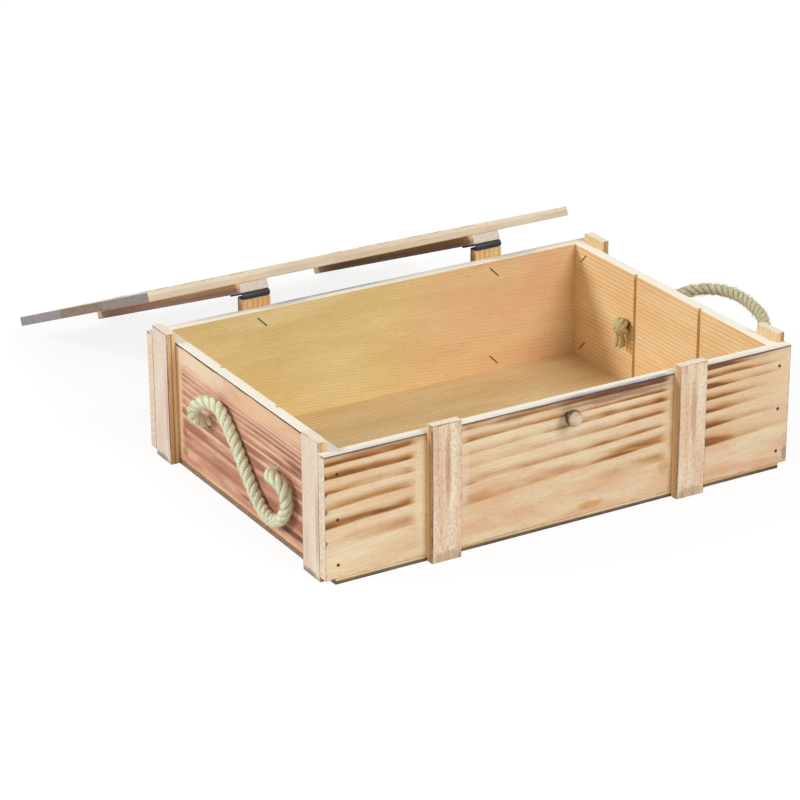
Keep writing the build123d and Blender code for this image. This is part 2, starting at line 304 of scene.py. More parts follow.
def note_depth(piece, points, radius):
    """Stores how far each vertex lies from the nearest point, as a share of the radius."""
    middle = kdtree.KDTree(len(points))
    for i, point in enumerate(points):
        middle.insert(point, i)
    middle.balance()
    depth = piece.data.attributes.new("depth", "FLOAT", "POINT")
    for vertex in piece.data.vertices:
        depth.data[vertex.index].value = middle.find(vertex.co)[2] / radius


def laid_rope(name, route):
    """A continuous three-strand rope on the route's smooth line; returns it with that line."""
    line = smooth_line(name + "_line", route)
    starts = [strand * 2 * math.pi / 3 for strand in range(3)]
    strands = [twisted(line, strand_reach, lay_length, start) for start in starts]
    form = bmesh.new()
    add_strands(form, strands, strand_diameter, 4)
    add_strands(form, loose_fibres(line, rope_fibres, rope_diameter / 2), fibre_diameter, 0)
    rope = keep(name, form)
    note_depth(rope, line, rope_diameter / 2)
    return rope, line


left_rope, left_line = laid_rope("left_rope", left_route)
right_rope, right_line = laid_rope("right_rope", right_route)
for rope, side in ((left_rope, "left"), (right_rope, "right")):
    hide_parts(f"{side}_rope_ends", f"{side}_rope_bight")
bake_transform(left_rope)
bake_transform(right_rope)


# --- knots: the strands' crown round each rope's end, with a short frayed tail ---
knot_strand = 4.4 * MM
knot_core = knot_radius - knot_strand * 0.55    # the rope's end, which the crown lies round
tail_strand = 3.4 * MM
tail_start = 5.5 * MM         # below the knot's middle
tail_spread = 1.6 * MM        # how far apart the strands come out
tail_twist = 0.3 * MM         # each strand wanders this far round its own line
tail_lay = 12 * MM
tail_fibres = 70
fuzz_radius = 3.6 * MM        # the loose fibres stand on a tail this thick


def ring(middle, axis, radius, turn):
    """The places of a closed ring round an axis."""
    steps = 20
    across = Matrix.Rotation(turn, 3, axis) @ axis.orthogonal().normalized()
    side = axis.cross(across)
    turns = [2 * math.pi * i / steps for i in range(steps + 1)]
    return [middle + radius * (math.cos(a) * across + math.sin(a) * side) for a in turns]


def crown(middle):
    """Four rings round a knot, each leaning another way."""
    lean = Matrix.Rotation(math.radians(32), 3, "Y")
    rings = []
    for i in range(4):
        tilt = Matrix.Rotation(math.radians(45 * i + 20), 3, X) @ lean
        rings.append(ring(middle, (tilt @ Z).normalized(), knot_radius - knot_strand / 2, 0.6 * i))
    return rings


def tails(middle):
    """The three strands that hang out of a knot, a little spread."""
    runs = []
    for i in range(3):
        spread = Vector((math.cos(i * 2.1), math.sin(i * 2.1), 0))
        lean = (0.14 * spread - Z).normalized()
        foot = middle - tail_start * Z + tail_spread * spread
        line = [foot + lean * 1.2 * MM * step for step in range(12)]
        runs.append(twisted(line, tail_twist, tail_lay, i))
    return runs


def knots(side, sign):
    """Both knots of one rope, as one piece."""
    form = bmesh.new()
    middles = [Vector((sign * knot_middle_x, y, rope_hole_z)) for y in (rope_hole_y, -rope_hole_y)]
    for middle in middles:
        add_strands(form, crown(middle), knot_strand, 2)
        bmesh.ops.create_icosphere(form, subdivisions=3, radius=knot_core,
                                   matrix=Matrix.Translation(middle))
        add_strands(form, tails(middle), tail_strand, 1)
        tail_line = [middle - Z * MM * (6 + step) for step in range(14)]
        add_strands(form, loose_fibres(tail_line, tail_fibres, fuzz_radius), fibre_diameter, 0)
    piece = keep(f"{side}_knots", form)
    note_depth(piece, middles, knot_radius)
    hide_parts(f"{side}_rope_knots")
    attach(piece, "box")
    return piece


left_knots = knots("left", -1)
right_knots = knots("right", 1)


# --- hinge straps: two strips each, which meet in the middle of the fold ---
bend_radius = 1.55 * MM       # where the strap comes over the batten's top
turn_radius = 2.07 * MM       # where it turns back on itself
strap_foot_z = 92 * MM
strap_on_lid = 21 * MM
strap_air = 0.3 * MM          # between the batten's top and the strap
strap_middle_y = batten_face + strap_thickness / 2
lower_line_z = batten_top + strap_air + strap_thickness / 2
bend_middle = Vector((0, strap_middle_y - bend_radius, lower_line_z - bend_radius))
fold_middle = Vector((0, 147.305 * MM, lower_line_z + turn_radius))


def strip(name, start, moves):
    """A leather strip: one edge across the strap, drawn straight or spun along each move."""
    form = bmesh.new()
    ends = [form.verts.new(start + side * strap_width / 2 * X) for side in (-1, 1)]
    edges = [form.edges.new(ends)]
    for kind, *how in moves:
        if kind == "draw":
            direction, length, steps = how
            for _ in range(steps):
                made = bmesh.ops.extrude_edge_only(form, edges=edges)["geom"]
                # the strip grows from the new edge whose two ends are new as well
                edges = [part for part in made if isinstance(part, bmesh.types.BMEdge)
                         and all(v in made for v in part.verts)][:1]
                step = direction * length / steps
                bmesh.ops.translate(form, vec=step, verts=list(edges[0].verts))
        else:
            centre, angle, steps = how
            made = bmesh.ops.spin(form, geom=edges, cent=centre, axis=X, angle=angle, steps=steps,
                                  use_merge=False)["geom_last"]
            edges = [part for part in made if isinstance(part, bmesh.types.BMEdge)]
    bmesh.ops.recalc_face_normals(form, faces=form.faces[:])
    return keep(name, form)


def thicken(piece):
    """Gives a strip the leather's thickness and worn edges."""
    wall = piece.modifiers.new("thickness", "SOLIDIFY")
    wall.thickness = strap_thickness
    wall.offset = 0
    rim = piece.modifiers.new("worn edge", "BEVEL")
    rim.width = 0.25 * MM
    rim.segments = 2
    rim.limit_method = "ANGLE"
    mesh = finished_mesh(piece)
    piece.modifiers.clear()
    piece.data = mesh


def strap(side, sign):
    """One hinge strap, in a lower strip on the box and an upper strip on the lid."""
    middle = sign * batten_x * X
    lower = strip(f"{side}_strap_lower", middle + Vector((0, strap_middle_y, strap_foot_z)), [
        ("draw", Z, bend_middle.z - strap_foot_z, 8),
        ("spin", middle + bend_middle, math.pi / 2, 8),
        ("draw", -Y, bend_middle.y - fold_middle.y, 2),
        ("spin", middle + fold_middle, -math.pi / 2, 8),
    ])
    lid_way = Vector((0, math.cos(lid_lean), -math.sin(lid_lean)))
    upper = strip(f"{side}_strap_upper", middle + fold_middle - turn_radius * Y, [
        ("spin", middle + fold_middle, -(math.pi / 2 + lid_lean), 10),
        ("draw", lid_way, strap_on_lid, 8),
    ])
    for piece in (lower, upper):
        thicken(piece)
    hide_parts(f"{side}_strap_box_leaf", f"{side}_strap_fold")
    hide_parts(f"{side}_strap_lid_leaf")
    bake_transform(lower)
    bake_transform(upper)
    return lower, upper


straps = [*strap("left", -1), *strap("right", 1)]


# --- wood ---
def board_turn(grain, outward):
    """A board's own axes: X along its grain, Y across its face, Z out of its face."""
    across = outward.cross(grain)
    return Matrix((grain, across, outward)).transposed()


def board_size(node, turn):
    """A board's middle in the model's frame, and its half sizes along its own axes."""
    inverse = turn.transposed()
    places = [inverse @ v.co for v in node.data.vertices]
    low = Vector([min(p[i] for p in places) for i in range(3)])
    high = Vector([max(p[i] for p in places) for i in range(3)])
    return turn @ ((low + high) / 2), (high - low) / 2


# A profile or a share is a row of stops: a place from 0 to 1, and the strength there.
everywhere = ((0, 1), (1, 1))
nowhere = ((0, 0), (1, 0))
soft_band = ((0, 0), (0.2, 0.05), (0.55, 0.55), (0.85, 1), (0.93, 0.5), (1, 0))
wide_band = ((0, 0), (0.12, 0.35), (0.3, 0.9), (0.8, 1), (0.9, 0.45), (0.96, 0), (1, 0))
soft_step = dict(interpolation_type="SMOOTHSTEP")

# colours that all the boards share
fibre_shade = "#A87E52"
scorched_top = "#5E3A33"
raw_pink = "#F0B898"
raw_fleck = "#8A6234"
top_edge = "#FBF3E2"
top_edge_dark_line = "#4E3533"
top_edge_grey = "#83798A"

fan_start = 130 * MM      # the bands fan out from this far beside the board's middle
band_start = 0.18         # how much of the first band the saw took off at the top edge
fleck_fade = 0.07         # how softly a fleck ends
edge_from, edge_to = 0.02 * MM, 0.3 * MM    # a sawn side's colour ends within this of its arris
wood_relief = 0.15 * MM


# Flamed pine: sawn softwood passed under a gas flame. The flame browns the dense late wood in
# bands along the grain, each soft above and sharp below, and leaves the arrises darkest. The
# faces inside the case stay raw, with fine orange rings.
def flamed_pine(
    name, node, turn, seed,
    # the wood between the bands, and the pink in it along and across the board
    pale="#E9D2B2", warm="#DFB98F", pink="#DDA88C", pink_share=0.5,
    pink_along=everywhere, pink_across=everywhere,
    # the flamed bands: spacing and widening in millimetres, and where the flame stayed longest
    band=8.7, widening=95.0, fan=1.15, band_shape=soft_band,
    flame="#B9854F", burnt="#75482C", strength=1.0,
    flame_along=everywhere, flame_across=everywhere,
    # fine rings, and flecks that are long and narrow, in millimetres
    ring=3.4, ring_colour="#CFA070", ring_share=0.3,
    fleck="#94653E", fleck_share=0.3, fleck_size=(7, 0.5), fleck_edge=0.68,
    # the arrises, a wall's top edge, a board's two narrow sides and its sawn ends
    arris="#5B3E30", arris_width=0.9, arris_share=0.6,
    top_scorch=nowhere, top_line=0.0, side=None,
    end_grain="#E6D6BE", end_stripe="#CFB08C",
    # the raw inner face: its two colours, its rings and where it is pink
    inside=None, inside_ring="#CE9658", inside_band=4.6, inside_share=0.6, inside_pink=nowhere,
    # single patches: a colour, then the place from the middle, the size and the share
    marks=(),
):
    material, tree, shader = new_material(name)
    middle, half = board_size(node, turn)
    own = add(tree, "Mapping", {
        "Vector": add(tree, "TexCoord", out="Object"),
        "Location": middle, "Rotation": turn.to_euler(),
    }, vector_type="TEXTURE")
    seeded = add(tree, "VectorMath", (own, (seed * 0.37, seed * 0.11, seed * 0.23)))
    x, y, z = (add(tree, "SeparateXYZ", (own,), out=i) for i in range(3))

    def grained(along, across, detail, roughness=0.5):
        """Noise drawn out along the grain, with its size in millimetres along and across."""
        size = (along * MM, across * MM, across * MM)
        place = add(tree, "Mapping", {"Vector": seeded, "Scale": size}, vector_type="TEXTURE")
        return add(tree, "TexNoise", {
            "Vector": place, "Scale": 1.0, "Detail": detail, "Roughness": roughness,
        })

    def patches(along, across, detail, low, high, least=0.0, most=1.0):
        """Patches along the grain, which grow from least to most between two noise levels."""
        noise = grained(along, across, detail)
        return add(tree, "MapRange", (noise, low, high, least, most), **soft_step)

    def share_along(value, reach, stops):
        """A strength that is given at a few places from one side of the board to the other."""
        share = add(tree, "MapRange", (value, -reach, reach))
        return add(tree, "ValToRGB", (share,), stops=stops)

    def rings(spacing):
        """Fine rings at an even spacing in millimetres."""
        number = product(tree, below, 1 / (spacing * MM))
        place = add(tree, "Math", (number,), operation="FRACT")
        return add(tree, "ValToRGB", (place,), stops=soft_band)

    def mark(at_x, at_y, wide, high, share):
        """A soft oval patch with a ragged outline, placed in millimetres from the middle."""
        squares = []
        for value, at, size in ((x, at_x, wide), (y, at_y, high)):
            off = add(tree, "Math", (value, at * MM), operation="SUBTRACT")
            off = product(tree, off, 1 / (size * MM))
            squares.append(product(tree, off, off))
        oval = add(tree, "Math", squares, operation="ADD")
        outline = add(tree, "Math", (oval, ragged_patch), operation="ADD")
        return add(tree, "MapRange", (outline, 0.55, 1.5, share, 0), **soft_step)

    # bands and rings run below the top edge, fan out along the board and wander a little; the
    # bands also widen on the way down
    wander = add(tree, "Math", (grained(130, 40, 1), 5 * MM, -2.5 * MM), operation="MULTIPLY_ADD")
    depth = add(tree, "Math", (half.y, y), operation="SUBTRACT")
    spread = add(tree, "Math", (x, fan, 1 + fan_start * fan), operation="MULTIPLY_ADD")
    below = add(tree, "Math", (product(tree, depth, spread), wander), operation="ADD")
    closing = add(tree, "Math", (product(tree, below, -1 / (widening * MM)),), operation="EXPONENT")
    bands = widening / band
    number = add(tree, "Math", (closing, -bands, bands + band_start), operation="MULTIPLY_ADD")
    band_place = add(tree, "Math", (number,), operation="FRACT")
    band_line = add(tree, "ValToRGB", (band_place,), stops=band_shape)

    clouds = patches(80, 22, 2, 0.3, 0.7)
    ring_break = patches(90, 6, 2, 0.35, 0.65)
    pink_patches = patches(60, 14, 3, 0.42, 0.62)
    flecks = patches(*fleck_size, 0, fleck_edge, fleck_edge + fleck_fade)
    flecks = product(tree, flecks, fleck_share)
    ragged_patch = grained(18, 3, 3)
    fibre = grained(16, 0.8, 3, 0.6)
    fibre_streaks = add(tree, "MapRange", (fibre, 0.3, 0.75, 0, 0.14), **soft_step)

    # what the flame browned: the bands, and a strip under the top edge
    scorch = product(
        tree, band_line, share_along(x, half.x, flame_along), share_along(y, half.y, flame_across),
        patches(50, 9, 2, 0.3, 0.68, 0.5, 1.25), strength,
    )
    browned = add(tree, "MapRange", (scorch, 0.02, 0.8, 0, 0.9), **soft_step)
    charred = add(tree, "MapRange", (scorch, 0.5, 1.15, 0, 0.85), **soft_step)
    near_top = add(tree, "MapRange", (depth, 3 * MM, 8 * MM, 1, 0), **soft_step)
    top_burn = product(
        tree, share_along(x, half.x, top_scorch), near_top, patches(20, 3, 2, 0.25, 0.6, 0.5, 1),
    )

    # the nearest arris is as far away as the second nearest of a board's ends, sides and faces
    off = [add(tree, "Math", (at,), operation="ABSOLUTE") for at in (x, y, z)]
    to_end, to_side, to_face = (
        add(tree, "Math", pair, operation="SUBTRACT") for pair in zip(half, off)
    )
    nearer = add(tree, "Math", (to_end, to_side), operation="MINIMUM")
    farther = add(tree, "Math", (to_end, to_side), operation="MAXIMUM")
    second = add(tree, "Math", (farther, to_face), operation="MINIMUM")
    to_arris = add(tree, "Math", (nearer, second), operation="MAXIMUM")
    ragged = add(tree, "Math", (grained(5, 4, 2), 1.6 * MM, -0.8 * MM), operation="MULTIPLY_ADD")
    to_rim = add(tree, "Math", (to_arris, ragged), operation="ADD")
    rim = product(
        tree, add(tree, "MapRange", (to_rim, 0.1 * MM, arris_width * MM, 1, 0), **soft_step),
        patches(30, 30, 1, 0.35, 0.6, arris_share * 0.35, arris_share),
    )

    # the outer face, from the ground up
    pink_part = product(
        tree, pink_patches, share_along(x, half.x, pink_along),
        share_along(y, half.y, pink_across), pink_share,
    )
    ground = layered(tree, linear(pale), [
        (product(tree, clouds, 0.7), warm),
        (product(tree, rings(ring), ring_break, ring_share), ring_colour),
        (pink_part, pink),
        (browned, flame),
        (charred, burnt),
        *((mark(*where), colour) for colour, where in marks),
        (flecks, fleck),
        (fibre_streaks, fibre_shade),
        (product(tree, top_burn, 0.85), scorched_top),
        (rim, arris),
    ])

    if side:
        edge = layered(tree, linear(side[0]), [
            (product(tree, patches(300, 1.4, 1, 0.42, 0.6), 0.75), side[1]),
            (flecks, fleck),
            (rim, arris),
        ])
        at_side = add(tree, "MapRange", (to_side, edge_from, edge_to, 1, 0), **soft_step)
        ground = layered(tree, ground, [(at_side, edge)])

    if inside:
        pink_end = share_along(x, half.x, inside_pink)
        raw_rings = product(
            tree, rings(inside_band), patches(110, 8, 2, 0.25, 0.6, 0.35, 1), inside_share,
        )
        raw = layered(tree, linear(inside[0]), [
            (product(tree, clouds, 0.8), inside[1]),
            (product(tree, pink_end, patches(90, 30, 1, 0.2, 0.6, 0.6, 1)), raw_pink),
            (raw_rings, inside_ring),
            (product(tree, flecks, 0.7), raw_fleck),
            (fibre_streaks, fibre_shade),
        ])
        inner = add(tree, "MapRange", (z, 0.0, -half.z * 0.5), **soft_step)
        ground = layered(tree, ground, [(inner, raw)])

    ends = layered(tree, linear(end_grain), [
        (product(tree, patches(400, 2.2, 1, 0.4, 0.6), 0.6), end_stripe),
        (product(tree, rim, 0.5), arris),
    ])
    at_end = add(tree, "MapRange", (to_end, edge_from, edge_to, 1, 0), **soft_step)
    ground = layered(tree, ground, [(at_end, ends)])

    if top_line:
        # a thin dark line on the outer face under the top edge, and the sawn top edge itself
        wave = grained(40, 25, 2)
        uneven = add(tree, "Math", (wave, 3 * MM, -1.5 * MM), operation="MULTIPLY_ADD")
        line_depth = add(tree, "Math", (depth, uneven), operation="ADD")
        line = add(tree, "MapRange", (line_depth, 1.3 * MM, 2.6 * MM, top_line, 0), **soft_step)
        outer = add(tree, "MapRange", (z, -half.z * 0.8, half.z * 0.8), **soft_step)
        near_face = add(tree, "MapRange", (z, -half.z * 0.3, half.z * 0.9), **soft_step)
        greyed = product(
            tree, share_along(x, half.x, top_scorch), near_face,
            patches(30, 4, 2, 0.25, 0.6, 0.4, 1), 0.85,
        )
        on_top = add(tree, "MapRange", (depth, 0.25 * MM, 0.5 * MM, 1, 0), **soft_step)
        ground = layered(tree, ground, [
            (product(tree, line, outer), top_edge_dark_line),
            (on_top, layered(tree, linear(top_edge), [(greyed, top_edge_grey)])),
        ])

    height = add(tree, "Math", (product(tree, band_line, -0.5), fibre), operation="ADD")
    roughness = add(tree, "MapRange", (fibre, 0.2, 0.8, 0.55, 0.75), **soft_step)
    finish_with(tree, shader, ground, roughness, height, wood_relief)
    shader.inputs["Specular IOR Level"].default_value = 0.3
    paint(node, material)


# Long walls, from their left end to their right end: the battens shaded the wood beside them,
# and the flame stayed longest at the left end and round the right batten.
wall_flames = (
    (0, 0.55), (0.168, 0.55), (0.19, 0.03), (0.265, 0.05), (0.285, 0.38), (0.36, 0.32),
    (0.47, 0.34), (0.55, 0.5), (0.64, 0.68), (0.705, 0.66), (0.728, 0.04), (0.79, 0.1),
    (0.797, 1), (0.83, 0.9), (0.88, 0.45), (1, 0.04),
)
long_wall = dict(
    pale="#F1DDBA", warm="#E6C193", pink="#E3AC8C", pink_share=0.65,
    flame="#B9772F", burnt="#693C17", strength=2.1, flame_along=wall_flames,
    flame_across=((0, 0), (0.22, 0.0), (0.33, 0.6), (0.47, 0.9), (0.6, 0.55), (0.72, 0.65),
                  (0.84, 1), (1, 1)),
    pink_along=((0, 0), (0.15, 0.3), (0.25, 0.9), (0.55, 1), (0.7, 0.3), (0.78, 0.7), (1, 1)),
    pink_across=((0, 1), (0.35, 1), (0.6, 0.3), (1, 0.15)),
    top_scorch=((0, 0.25), (0.2, 0.35), (0.27, 0.1), (0.45, 0.3), (0.52, 0.9), (0.71, 1),
                (0.73, 0.3), (0.8, 0.5), (1, 0.1)),
    top_line=0.8, ring_share=0.25,
)
golden, umber, char = "#D79A5C", "#6E4A2C", "#3B2419"
front_marks = [
    (golden, (22, -43, 15, 4, 0.75)), (golden, (90, -26, 7, 10, 0.55)),
    (golden, (-20, -12, 16, 3, 0.3)), ("#F3E3BC", (-129, 0, 6, 60, 0.6)),
    ("#F1DFC4", (-92, 10, 7, 50, 0.5)), ("#EBC9B0", (40, -34, 50, 4, 0.5)),
    ("#7B4F42", (48, 42, 60, 3.5, 0.7)), ("#8A5F4E", (-50, 44, 22, 2.5, 0.5)),
    (char, (-210, 33, 3, 3, 0.8)), (char, (-210, 19, 3, 2.5, 0.8)),
    (char, (-210, 5, 3.5, 3, 0.8)), (char, (-210, -20, 3, 2.5, 0.7)),
    (umber, (208, -42, 4, 8, 0.5)), ("#E3A98E", (165, -45, 45, 5, 0.5)),
]
flamed_pine(
    "flamed_pine_front_wall", nodes["front_wall"], board_turn(X, -Y), 1, **long_wall,
    marks=front_marks, inside=("#F0DBA8", "#E4C384"),
)
flamed_pine(
    "flamed_pine_back_wall", nodes["back_wall"], board_turn(-X, Y), 2, **long_wall,
    inside=("#F6E6AE", "#EBD292"), inside_ring="#C9A668", inside_band=3.2, inside_share=0.3,
    inside_pink=((0, 0.35), (0.12, 0.75), (0.35, 0.5), (0.5, 0.05), (0.9, 0), (1, 0.3)),
)

# End walls: narrow bands close together, pink and brown, strongest below the middle.
end_wall = dict(
    pale="#EDCBAA", warm="#E2B592", pink="#CF8A6E", pink_share=0.9,
    pink_across=((0, 1), (0.35, 1), (0.6, 0.5), (1, 0.1)),
    band=2.4, widening=40.0, fan=0.0, band_shape=wide_band,
    flame_across=((0, 0.3), (0.08, 0.55), (0.16, 0.85), (0.3, 1), (0.7, 0.8), (0.85, 0.4),
                  (1, 0.25)),
    flame="#C0866F", burnt="#996450", strength=1.3, fleck_share=0.15, ring_share=0.15,
    top_line=0.95,
)
glow, pale_tan, hazel = "#E8C391", "#F0DABC", "#96603F"
end_marks = [
    (pale_tan, (-70, 44, 62, 18, 0.85)), ("#E5BD8B", (30, 40, 60, 9, 0.5)),
    (glow, (-107, 0, 6, 70, 0.75)), (glow, (0, -48, 130, 2.5, 0.5)),
    (hazel, (-99, -5, 5, 4, 0.6)), (hazel, (-99, -22, 5, 5, 0.65)), (hazel, (-99, -40, 6, 5, 0.6)),
    ("#B0765C", (-45, -32, 62, 15, 0.42)), ("#C77F66", (50, -30, 40, 4, 0.4)),
    ("#6B4A20", (90, 16, 22, 6, 0.65)), ("#7A4A33", (92, -1, 20, 3, 0.5)),
    # a long, very dark streak along the grain, just under the rope's lower loop
    ("#3F2424", (64, -39.5, 80, 3.6, 0.9)),
]
flamed_pine(
    "flamed_pine_left_end", nodes["left_end_wall"], board_turn(-Y, -X), 3, **end_wall,
    marks=end_marks, inside=("#F6D8A4", "#F0C88E"), inside_ring="#CF9455",
    flame_along=((0, 0), (0.11, 0.05), (0.14, 0.9), (0.18, 0.75), (0.6, 0.85), (0.85, 1), (1, 1)),
)
flamed_pine(
    "flamed_pine_right_end", nodes["right_end_wall"], board_turn(Y, X), 4, **end_wall,
    inside=("#F8DFB0", "#F1CC96"), inside_ring="#C98D4E", inside_band=3.8, inside_share=0.45,
    flame_along=((0, 0.8), (0.3, 0.9), (0.8, 0.7), (1, 0.1)),
)

# The bottom panel was never flamed: plain sawn pine, with dark grey-brown sides and edges.
flamed_pine(
    "sawn_pine_bottom", nodes["bottom_panel"], board_turn(X, -Z), 5,
    flame_along=nowhere, pink_share=0.1, ring=5.5, fan=0.0, pale="#DDC8A4", warm="#CFB083",
    arris="#3A2D2C", arris_share=0.95, arris_width=2.2, end_grain="#A3876A", end_stripe="#785E48",
    inside=("#EBD6A8", "#DDBF8A"), side=("#8E7660", "#5E4A40"),
)

# Battens: paler wood, flamed mostly at its foot and top, with burnt arrises and close growth
# rings on the side that lies against the wall.
batten_look = dict(
    pale="#F9EAD0", warm="#EDCEAA", pink="#EBBFA4", pink_share=0.4,
    band=9.0, widening=400.0, fan=0.0, flame="#B98A62", burnt="#7A5138",
    flame_along=((0, 0.75), (0.05, 0.4), (0.15, 0.1), (0.45, 0.2), (0.7, 0.45), (0.9, 0.35),
                 (1, 0.5)),
    ring=2.3, ring_share=0.2, ring_colour="#CDA57E",
    fleck="#9C6A48", fleck_share=0.55, fleck_size=(2.6, 0.35), fleck_edge=0.6,
    arris_width=1.1, arris_share=0.85, side=("#DDB68C", "#B88A62"),
    end_grain="#F6EAD6", end_stripe="#EAD3B4",
    inside=("#F6D69A", "#EDBE7C"), inside_ring="#D18A48", inside_share=0.8,
)
wall_batten_look = dict(batten_look, marks=(
    (golden, (0, 5, 60, 3, 0.35)), ("#B9805C", (18, -1, 38, 3.6, 0.5)),
    (umber, (0, 12.5, 70, 1.2, 0.7)), ("#A98A62", (-52, 0, 6, 15, 0.5)),
))
corner_look = dict(
    batten_look, pale="#EBE0CE", warm="#DFCFBA", pink="#DFC0AE",
    flame_along=((0, 0.5), (0.04, 0.1), (0.1, 0), (0.8, 0.05), (1, 0.2)),
    fleck_share=0.28, ring_colour="#DCC2A8", side=("#E4BC8C", "#99683F"),
    inside=("#F4DFB4", "#E8CA96"), inside_share=0.3,
    # the first mark, a dark patch across the batten's foot, is painted shadow at the bottom's
    # set-back corner
    marks=(("#4A3A34", (-54, 2, 4, 16, 0.6)), ("#C9A48C", (-30, 6, 22, 3, 0.3)),
           ("#B98468", (-12, -9.5, 44, 2.2, 0.5)), ("#5E3F33", (-10, -12.7, 52, 1.1, 0.85))),
)
lid_batten_look = dict(
    batten_look, pale="#F3DCCA", warm="#E4BEA2", pink="#D8A68E", fleck_share=0.3,
    arris_share=0.35, side=("#C6A594", "#A18272"), end_grain="#EAE0D6", end_stripe="#D6C8BA",
)

# Lid boards: raw and pale on the side in view. Their ends are grey in each board's own tone,
# darkened with painted shade.
lid_look = dict(
    pale="#E6DAC2", warm="#D9C6A6", band=9.5, flame_along=wall_flames, pink_share=0.2,
    fleck_share=0.15, arris_share=0.25, inside_ring="#CDB48C",
)
lid_boards = {
    "lid_board_1": dict(end_grain="#958C8C", end_stripe="#80767A", inside=("#F3E7CE", "#E6D4B0")),
    "lid_board_2": dict(end_grain="#8C7868", end_stripe="#705E50", inside=("#EFDFC0", "#DFC89E"),
                        pale="#E2D2B4"),
    "lid_board_3": dict(end_grain="#8E8480", end_stripe="#786C66", inside=("#F4E9D2", "#E9D9BA")),
}
lid_out = Vector((0, -math.sin(lid_lean), -math.cos(lid_lean)))
lid_down = Vector((0, math.cos(lid_lean), -math.sin(lid_lean)))

for seed, (name, node) in enumerate(sorted(nodes.items()), 6):
    if name.endswith("corner_batten"):
        turn, look = board_turn(Z, -X if "left" in name else X), corner_look
    elif name.endswith("lid_batten"):
        turn, look = board_turn(lid_down, lid_out), lid_batten_look
    elif name.endswith("batten"):
        turn, look = board_turn(Z, -Y if "front" in name else Y), wall_batten_look
    elif name in lid_boards:
        turn, look = board_turn(X, lid_out), dict(lid_look, **lid_boards[name])
    else:
        continue
    flamed_pine("flamed_pine_" + name, node, turn, seed, **look)


# Turned beech: closed fine pores and a smooth pale cap. The side next to the wall took the flame;
# the tan that grows from the tip towards the wall is partly scorch and partly painted shade.
def turned_beech():
    material, tree, shader = new_material("turned_beech")
    low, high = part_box("closure_knob")
    pore_scale = (0.9 / MM, 0.09 / MM, 0.9 / MM)    # pores about 1 mm wide, drawn out along Y
    cloud_scale = 0.26 / MM
    burn_line = low.y + 4.4 * MM
    place = add(tree, "TexCoord", out="Object")
    away = add(tree, "SeparateXYZ", {0: place}, out="Y")
    pores = add(tree, "Mapping", {"Vector": place, "Scale": pore_scale})
    grain = add(tree, "TexNoise", {"Vector": pores, "Scale": 1.0, "Detail": 2.0})
    cloud = add(tree, "TexNoise", {"Vector": place, "Scale": cloud_scale, "Detail": 2.0})
    ragged = add(tree, "Math", (cloud, 2.4 * MM, away), operation="MULTIPLY_ADD")
    burn = add(tree, "MapRange", (ragged, burn_line, burn_line + 2.2 * MM), **soft_step)
    # partly scorch, partly painted shade: the cap turns tan from the knob's tip towards the wall
    scorch_and_shade = add(tree, "MapRange", (ragged, low.y + 1.5 * MM, burn_line + MM))
    colour = layered(tree, linear("#E9D7BD"), [
        (product(tree, cloud, 0.5), "#CFB496"),
        (product(tree, scorch_and_shade, 0.8), "#A67E5E"),
        (product(tree, grain, 0.4), "#B08C6A"),
        (product(tree, burn, 0.95), "#3E2C22"),
    ])
    roughness = add(tree, "Math", (grain, 0.2, 0.38), operation="MULTIPLY_ADD")
    finish_with(tree, shader, colour, roughness, grain, 0.03 * MM)
    paint(nodes["closure_knob"], material)


turned_beech()


# Drawn steel wire, dulled by the flame, with small dark spots.
def drawn_steel(name, colour, members):
    material, tree, shader = new_material(name)
    mottle_scale = 1.5 / MM    # spots under a millimetre
    place = add(tree, "TexCoord", out="Object")
    mottle = add(tree, "TexNoise", {"Vector": place, "Scale": mottle_scale, "Detail": 2.0})
    colours = layered(tree, linear(colour), [(mottle, "#4A423C")])
    roughness = add(tree, "Math", (mottle, 0.3, 0.3), operation="MULTIPLY_ADD")
    finish_with(tree, shader, colours, roughness, mottle, 0.02 * MM)
    shader.inputs["Metallic"].default_value = 0.9
    for member in members:
        paint(nodes[member], material)


drawn_steel("drawn_steel_staples", "#8E8B86", [n for n in nodes if n.endswith("staples")])
drawn_steel("oxidised_steel_nails", "#5C4A3C", ["wall_nails"])


# Hide leather, dyed near black through and through, pebbled all over and with worn places.
def hide_leather(pieces):
    material, tree, shader = new_material("black_hide_leather")
    pebble = 0.9 * MM
    wear_scale = 0.12 / MM    # worn places some 8 mm across
    place = add(tree, "TexCoord", out="Object")
    pebbles = add(tree, "TexVoronoi", {"Vector": place, "Scale": 1 / pebble}, feature="SMOOTH_F1")
    wear = add(tree, "TexNoise", {"Vector": place, "Scale": wear_scale, "Detail": 3.0})
    colour = layered(tree, linear("#1D1A1F"), [(product(tree, wear, 0.6), "#343038")])
    roughness = add(tree, "Math", (wear, 0.25, 0.38), operation="MULTIPLY_ADD")
    finish_with(tree, shader, colour, roughness, pebbles, 0.08 * MM)
    for piece in pieces:
        paint(piece, material)


hide_leather(straps)
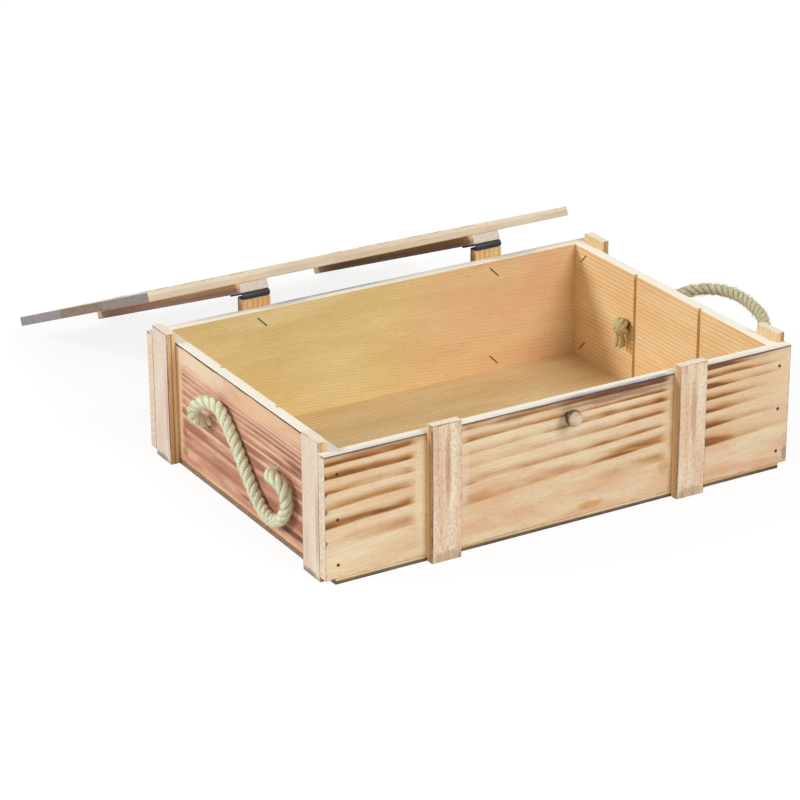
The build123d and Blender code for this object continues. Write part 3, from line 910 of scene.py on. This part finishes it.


# Laid sisal: pale straw fibres twisted into strands, with painted shade in the creases between
# them, and loose ends that stand off the rope.
def laid_sisal(name, pieces, pale, dark, crease_shade_colour):
    material, tree, shader = new_material(name)
    streak_counts = (30, 90, 1)    # streaks along a strand and round it: about 10 mm by 0.2 mm
    speck = 0.7 * MM
    patch = 7 * MM
    lay = add(tree, "UVMap", uv_map="UVMap")
    place = add(tree, "TexCoord", out="Object")
    depth = add(tree, "Attribute", out="Fac", attribute_name="depth")
    streak_place = add(tree, "Mapping", {"Vector": lay, "Scale": streak_counts})
    streaks = add(tree, "TexNoise", {
        "Vector": streak_place, "Scale": 1.0, "Detail": 4.0, "Roughness": 0.65,
    })
    specks = add(tree, "TexNoise", {"Vector": place, "Scale": 1 / speck, "Detail": 3.0})
    cloud = add(tree, "TexNoise", {"Vector": place, "Scale": 1 / patch, "Detail": 1.0})
    fine = product(tree, specks, 0.3)
    fibres = add(tree, "Math", (streaks, 0.7, fine), operation="MULTIPLY_ADD")
    # painted shade: the colour darkens towards the rope's middle, in the creases between the
    # strands
    crease_shade = add(tree, "MapRange", (depth, 0.62, 0.98, 0.85, 0), **soft_step)
    streaked = add(tree, "MapRange", (fibres, 0.42, 0.62, 0, 0.8))
    shaded = add(tree, "MapRange", (specks, 0.52, 0.64, 0, 0.9))
    colour = layered(tree, linear(pale), [
        (product(tree, cloud, 0.35), "#E6DFB4"),
        (streaked, dark),
        (crease_shade, crease_shade_colour),
        (product(tree, shaded, streaked), "#76744A"),
    ])
    roughness = add(tree, "Math", (fibres, 0.1, 0.8), operation="MULTIPLY_ADD")
    finish_with(tree, shader, colour, roughness, fibres, 0.3 * MM)
    for piece in pieces:
        paint(piece, material)


# The two ropes are the same sisal: the left rope's paler colours are painted light, the right
# rope's darker ones painted shade.
laid_sisal("laid_sisal_left", [left_rope], "#FFFFEC", "#CCCD96", "#B4B668")
laid_sisal("laid_sisal_right", [right_rope], "#E2DCBA", "#9C946C", "#5C5632")
laid_sisal("knotted_sisal", [left_knots, right_knots], "#DCCF98", "#9A8C58", "#8F8448")


# --- floor, lamps and background ---
# White paper. The camera sees it as almost pure white, with only a faint shadow; everything else
# sees plain white paper.
def floor():
    white = (0.88, 0.88, 0.88, 1)
    white_seen = (0.16, 0.16, 0.16, 1)
    glow_seen = 0.87
    form = bmesh.new()
    bmesh.ops.create_grid(form, x_segments=2, y_segments=2, size=8)
    ground = keep("floor", form, smooth=False)
    material, tree, shader = new_material("white_paper_floor")
    seen = add(tree, "LightPath", out="Is Camera Ray")
    colour = layered(tree, white, [(seen, white_seen)])
    tree.links.new(colour, shader.inputs["Base Color"])
    tree.links.new(product(tree, seen, glow_seen), shader.inputs["Emission Strength"])
    shader.inputs["Emission Color"].default_value = (1, 1, 1, 1)
    shader.inputs["Roughness"].default_value = 0.9
    shader.inputs["Specular IOR Level"].default_value = 0
    paint(ground, material)


def lamp(name, strength, softness, towards):
    """A soft sun that shines from the given side."""
    light = bpy.data.lights.new(name, "SUN")
    light.energy = strength
    light.angle = math.radians(softness)
    holder = placed(name, light)
    holder.rotation_euler = Vector(towards).to_track_quat("Z", "Y").to_euler()


def studio():
    """An even white surround, at full strength where the camera or a reflection looks at it."""
    surround, full = 0.4, 1.0
    world = bpy.data.worlds.new("white_studio")
    bpy.context.scene.world = world
    world.use_nodes = True
    tree = world.node_tree
    tree.nodes.clear()
    ray = add(tree, "LightPath").node.outputs
    glossy, through = ray["Is Glossy Ray"], ray["Is Transmission Ray"]
    bounced = add(tree, "Math", (glossy, through), operation="MAXIMUM")
    seen = add(tree, "Math", (ray["Is Camera Ray"], bounced), operation="MAXIMUM")
    strength = add(tree, "Math", (seen, full - surround, surround), operation="MULTIPLY_ADD")
    sky = add(tree, "Background", {"Color": (1, 1, 1, 1), "Strength": strength})
    add(tree, "OutputWorld", {"Surface": sky})


floor()
studio()
lamp("key", strength=1.48, softness=26, towards=(0.2, -0.76, 0.62))
lamp("end_light", strength=1.75, softness=14, towards=(-0.8, 0.38, 0.46))

bpy.context.scene.view_settings.view_transform = "Standard"
